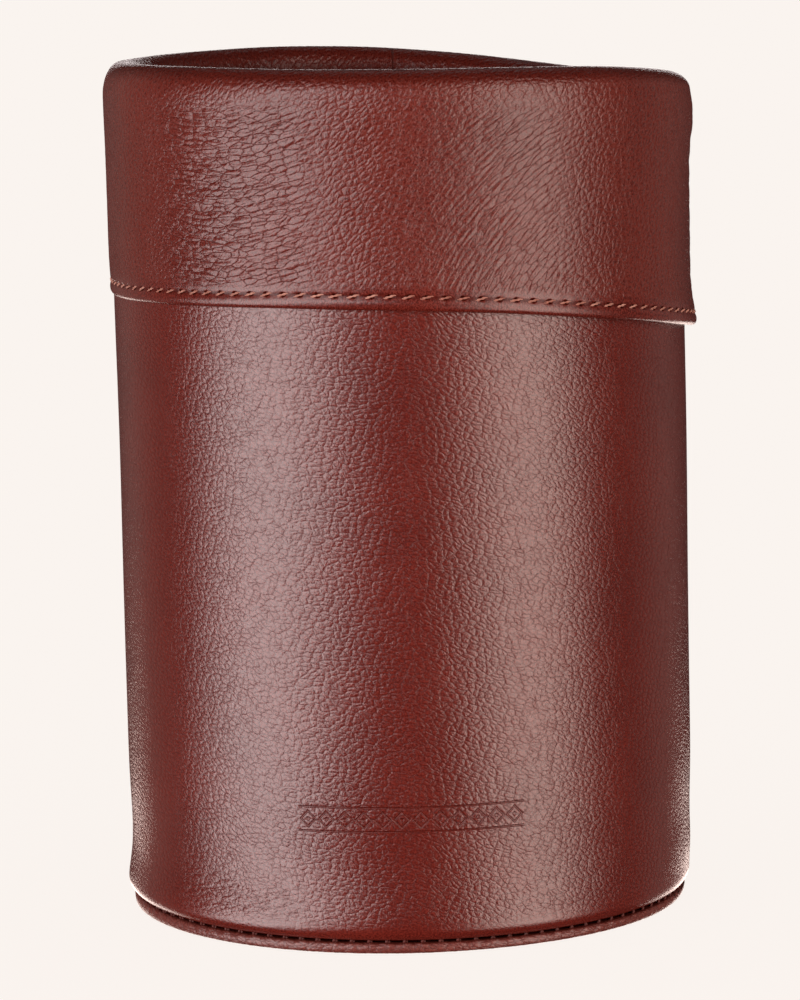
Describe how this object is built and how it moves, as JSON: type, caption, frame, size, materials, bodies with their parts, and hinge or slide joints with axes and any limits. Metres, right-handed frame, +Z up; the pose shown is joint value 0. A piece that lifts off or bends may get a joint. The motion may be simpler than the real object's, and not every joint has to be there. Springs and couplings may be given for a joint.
{
  "type": "leather brush holder",
  "caption": "Standing round open-topped leather holder for brushes or tools, with a turned-down stitched cuff, a leather lining and a leather-covered base.",
  "frame": {"origin": "centre of the underside, on the surface that the holder stands on", "axes": "+Z up through the open mouth, -Y towards the front, +Y towards the back seam"},
  "size_m": [0.1348, 0.1348, 0.193],
  "materials": {
    "leather_outer": "semi-gloss pebbled oxblood",
    "leather_inner": "satin dark brown",
    "thread": "waxed thread",
    "board": "pressed fibreboard, matt"
  },
  "bodies": {
    "root": {"outer_wall": "leather_outer", "wall_core": "board", "seam_backing": "leather_inner", "lining_wall": "leather_inner", "cuff": "leather_outer", "base_cover": "leather_outer", "base_board": "board", "base_filler": "board", "floor_board": "board", "floor_lining": "leather_inner", "hem_stitching": "thread", "facing_stitching": "thread", "base_stitching": "thread", "wall_seam_stitching": "thread", "cuff_seam_stitching": "thread"}
  },
  "joints": []
}
